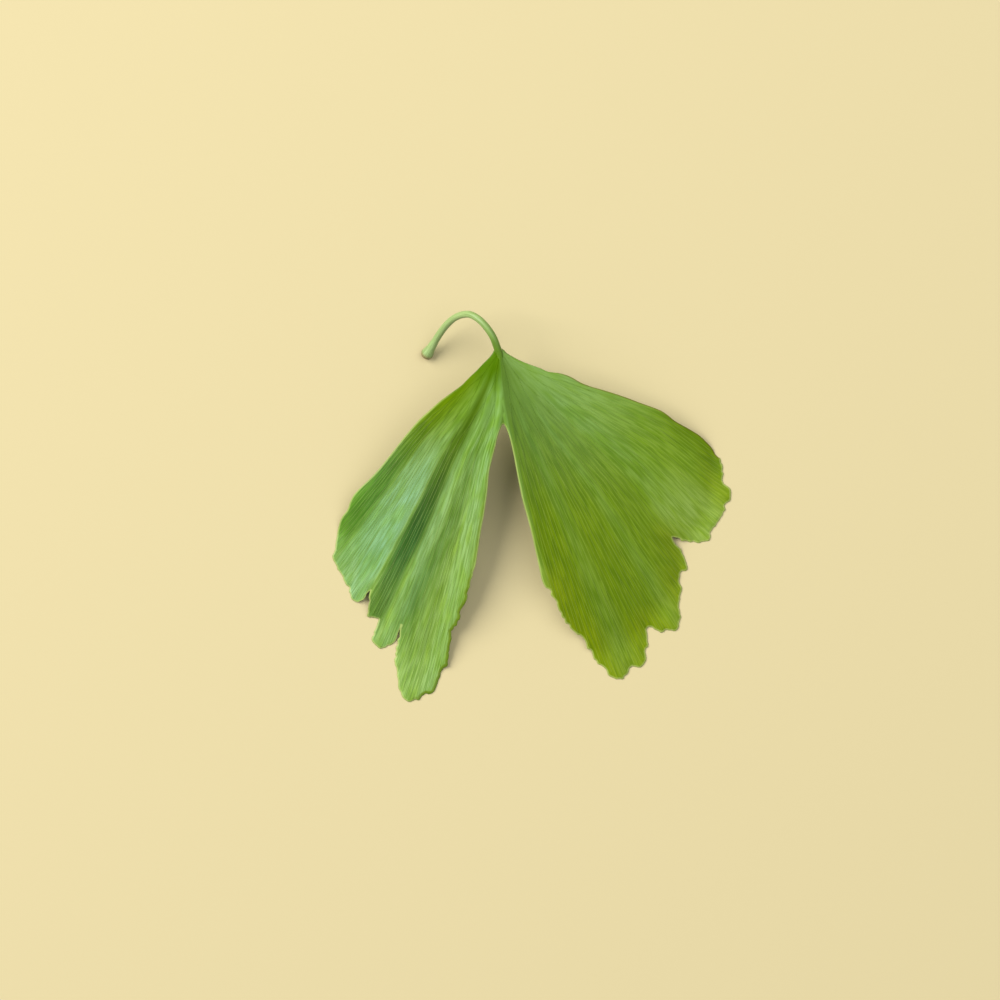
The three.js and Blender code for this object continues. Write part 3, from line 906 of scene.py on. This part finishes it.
def vein_mesh(face, material):
    """Ribs on the upper or the under face, sunk in it so that a share of them stands out."""
    skin = BVHTree.FromPolygons(
        [corner.co for corner in blade_data.vertices],
        [side.vertices for side in blade_data.polygons],
    )
    start, way = (1, -1) if face == "upper" else (-1, 1)
    lines = []
    thicknesses = []
    lengths = []
    for plan in VEIN_LINES:
        radius = np.hypot(*plan.T)
        thick, thin = VEIN_THICKNESS
        thickness = thick + (thin - thick) * np.clip(radius / VEIN_THINNING_REACH, 0, 1)
        line = to_frame(*plan.T, np.zeros(len(plan)))
        for place in line:
            place[2] = skin.ray_cast((place[0], place[1], start), (0, 0, way))[0].z
        line[:, 2] += way * thickness * (1 - 2 * VEIN_STANDS_OUT)
        line[:, 2] = np.maximum(line[:, 2], thickness)
        lines.append(line)
        thicknesses.append(thickness)
        lengths.append(radius / MM)
    mesh = swept(lines, thicknesses, lengths, VEIN_SIDES, 0.0, material)
    store_leaf_places(mesh, np.full(len(mesh.vertices), 0 if face == "upper" else 1))
    return mesh


vein_finish = vein_material()
for face in ("upper", "under"):
    piece_from(vein_mesh(face, vein_finish), "veins_" + face, vein_finish)

# The petiole. A slender green stalk, grooved along its upper side. It grows out of the blade's
# base, bends over and comes down to the flared foot, with the scar where it was picked.
PETIOLE_RADIUS = 0.65 * MM
# Its middle line, as (across, down, height) in millimetres from the blade's base
PETIOLE_LINE = [
    (0.3, 3.9, 10.85), (0.25, 2.7, 11.05), (0.15, 1.6, 11.3), (-0.05, 0.6, 11.62),
    (-0.5, -0.6, 12.05), (-1.2, -2.4, 12.6), (-2.3, -4.1, 12.8), (-3.7, -5.6, 12.4),
    (-5.2, -6.5, 11.4), (-6.6, -6.6, 9.8), (-8.1, -6.1, 7.9), (-9.6, -4.9, 5.9),
    (-10.9, -3.3, 4.0), (-12.0, -1.6, 2.3), (-12.8, -0.4, 1.3), (-13.4, 0.5, 0.5),
]
PETIOLE_STEPS = 120
PETIOLE_SIDES = 28
GROOVE_DEPTH = 0.22
# Thickness along the petiole, as (share of its length from inside the blade, share of radius)
PETIOLE_TAPER = [
    (0, 0.45), (0.06, 0.7), (0.1, 0.88), (0.16, 1.03), (0.22, 1.0), (0.6, 0.95), (0.86, 1.02),
    (0.93, 1.25), (0.965, 1.6), (0.985, 1.77), (1, 1.5),
]


def petiole_curve():
    """Evenly placed points on a smooth curve through the petiole's line."""
    line = np.array(PETIOLE_LINE) * MM
    knots = np.concatenate([[0], np.cumsum(np.linalg.norm(np.diff(line, axis=0), axis=1))])
    fine = np.linspace(0, knots[-1], PETIOLE_STEPS)
    slopes = np.gradient(line, knots, axis=0)
    upper = np.clip(np.searchsorted(knots, fine, side="right"), 1, len(knots) - 1)
    lower = upper - 1
    run = (knots[upper] - knots[lower])[:, None]
    t = (fine - knots[lower])[:, None] / run
    return curve_point(t, line[lower], run * slopes[lower], line[upper], run * slopes[upper])


PETIOLE_GREEN = rgb(122, 154, 72)
PETIOLE_PALE = rgb(156, 182, 118)
PETIOLE_PALE_REACH = (6.0, 16.0)
PETIOLE_OLIVE = rgb(92, 128, 14)
PETIOLE_OLIVE_REACH = (8.5, 4.0)
SCAR_BROWN = rgb(128, 104, 66)
SCAR_SHARE = 0.85
# Millimetres from the foot's end at which the scar's brown starts and is full
SCAR_ENDS = (1.1, 0.15)
FIBRE_DARK = rgb(205, 210, 190)
FIBRE_EDGES = (0.3, 0.7)
FIBRE_STRETCH = 0.4
FIBRE_RELIEF_STRENGTH = 0.3
FIBRE_RELIEF = 0.05 * MM
# Vein numbers once round the petiole, which its fibres follow
PETIOLE_ROUND = 46.0
PETIOLE_ROUGHNESS = 0.4
PETIOLE_SHEEN = 0.45


def petiole_material(full_length):
    material, nodes = empty_material("leaf_petiole")
    length = nodes.read("length")
    around = nodes.math("MULTIPLY", nodes.read("around"), PETIOLE_ROUND)
    fibre_length = nodes.math("ADD", length, STREAK_FIRST_LENGTH)
    fibres = streaks(nodes, around, fibre_length, FINE_STREAKS, FIBRE_STRETCH)
    green = nodes.mix(nodes.fade(length, *PETIOLE_PALE_REACH), PETIOLE_GREEN, PETIOLE_PALE)
    green = nodes.mix(nodes.fade(length, *PETIOLE_OLIVE_REACH), green, PETIOLE_OLIVE)
    tone = nodes.mix(nodes.fade(fibres, *FIBRE_EDGES), FIBRE_DARK, STREAK_LIGHT)
    green = nodes.mix(1.0, green, tone, "MULTIPLY")
    brown = nodes.fade(length, *(full_length - end for end in SCAR_ENDS), 0.0, SCAR_SHARE)
    green = nodes.mix(brown, green, SCAR_BROWN)
    surface = nodes.add("ShaderNodeBsdfPrincipled")
    surface.inputs["Roughness"].default_value = PETIOLE_ROUGHNESS
    surface.inputs["Specular IOR Level"].default_value = PETIOLE_SHEEN
    nodes.join(green, surface.inputs["Base Color"])
    normal = relief(nodes, fibres, FIBRE_RELIEF_STRENGTH, FIBRE_RELIEF)
    nodes.join(normal, surface.inputs["Normal"])
    nodes.join(surface.outputs[0], nodes.add("ShaderNodeOutputMaterial").inputs[0])
    return material


petiole_line = petiole_curve()
petiole_steps = np.linalg.norm(np.diff(petiole_line, axis=0), axis=1)
petiole_length = np.concatenate([[0], np.cumsum(petiole_steps)])
petiole_share = petiole_length / petiole_length[-1]
petiole_finish = petiole_material(petiole_length[-1] / MM)
petiole_data = swept(
    [to_frame(*petiole_line.T)],
    [PETIOLE_RADIUS * along(PETIOLE_TAPER, petiole_share)],
    [petiole_length / MM],
    PETIOLE_SIDES,
    GROOVE_DEPTH,
    petiole_finish,
)
for corner in petiole_data.vertices:
    corner.co.z = max(corner.co.z, 0)
piece_from(petiole_data, "petiole", petiole_finish)

# The stage. A plain pale paper surface that the leaf lies on, a camera straight above the leaf,
# and soft studio light that comes mostly from the upper left.
VIEW_WIDTH = 180 * MM
VIEW_MIDDLE = (0, 26.6 * MM)
SENSOR = 36
LENS = 180
SUBJECT_HEIGHT = 5 * MM
CAMERA_SEES = (0.05, 20)
FLOOR_SIZE = 4.0
FLOOR_COLOUR = rgb(194, 181, 139)
FLOOR_ROUGHNESS = 0.9
FLOOR_SHEEN = 0.1

floor_data = bpy.data.meshes.new("floor")
half = FLOOR_SIZE / 2
floor_corners = [(-half, -half, 0), (half, -half, 0), (half, half, 0), (-half, half, 0)]
floor_data.from_pydata(floor_corners, [], [(0, 1, 2, 3)])
floor = placed("floor", floor_data)
floor_finish = bpy.data.materials.new("floor_paper")
floor_finish.use_nodes = True
floor_surface = floor_finish.node_tree.nodes["Principled BSDF"]
floor_surface.inputs["Base Color"].default_value = FLOOR_COLOUR
floor_surface.inputs["Roughness"].default_value = FLOOR_ROUGHNESS
floor_surface.inputs["Specular IOR Level"].default_value = FLOOR_SHEEN
floor_data.materials.append(floor_finish)

camera_data = bpy.data.cameras.new("camera")
camera_data.sensor_width = SENSOR
camera_data.lens = LENS
camera = placed("camera", camera_data)
distance = VIEW_WIDTH * LENS / SENSOR
camera.location = (
    VIEW_MIDDLE[0] + leaf_shift[0],
    leaf_shift[1] - VIEW_MIDDLE[1],
    distance + SUBJECT_HEIGHT,
)
camera_data.clip_start, camera_data.clip_end = CAMERA_SEES
bpy.context.scene.camera = camera

# Soft boxes, as place, size, power in watts and colour
SOFT_BOXES = {
    "key": ((-0.95, 0.5, 1.0), 1.1, 33.0, (1.0, 0.98, 0.95)),
    "fill": ((0.6, 0.3, 1.2), 1.2, 9.5, (0.95, 0.98, 1.0)),
}
ROOM_COLOUR = (0.95, 0.97, 1.0, 1)
ROOM_STRENGTH = 0.36


def soft_light(name, place, size, power, colour):
    """A square soft box that faces the leaf."""
    lamp = bpy.data.lights.new(name, "AREA")
    lamp.shape = "SQUARE"
    lamp.size = size
    lamp.energy = power
    lamp.color = colour
    light = placed(name, lamp)
    light.location = place
    light.rotation_euler = (-Vector(place)).to_track_quat("-Z", "Y").to_euler()


for name, settings in SOFT_BOXES.items():
    soft_light(name, *settings)

world = bpy.data.worlds.new("studio")
world.use_nodes = True
room = world.node_tree.nodes["Background"]
room.inputs["Color"].default_value = ROOM_COLOUR
room.inputs["Strength"].default_value = ROOM_STRENGTH
bpy.context.scene.world = world
bpy.context.scene.view_settings.view_transform = "Standard"
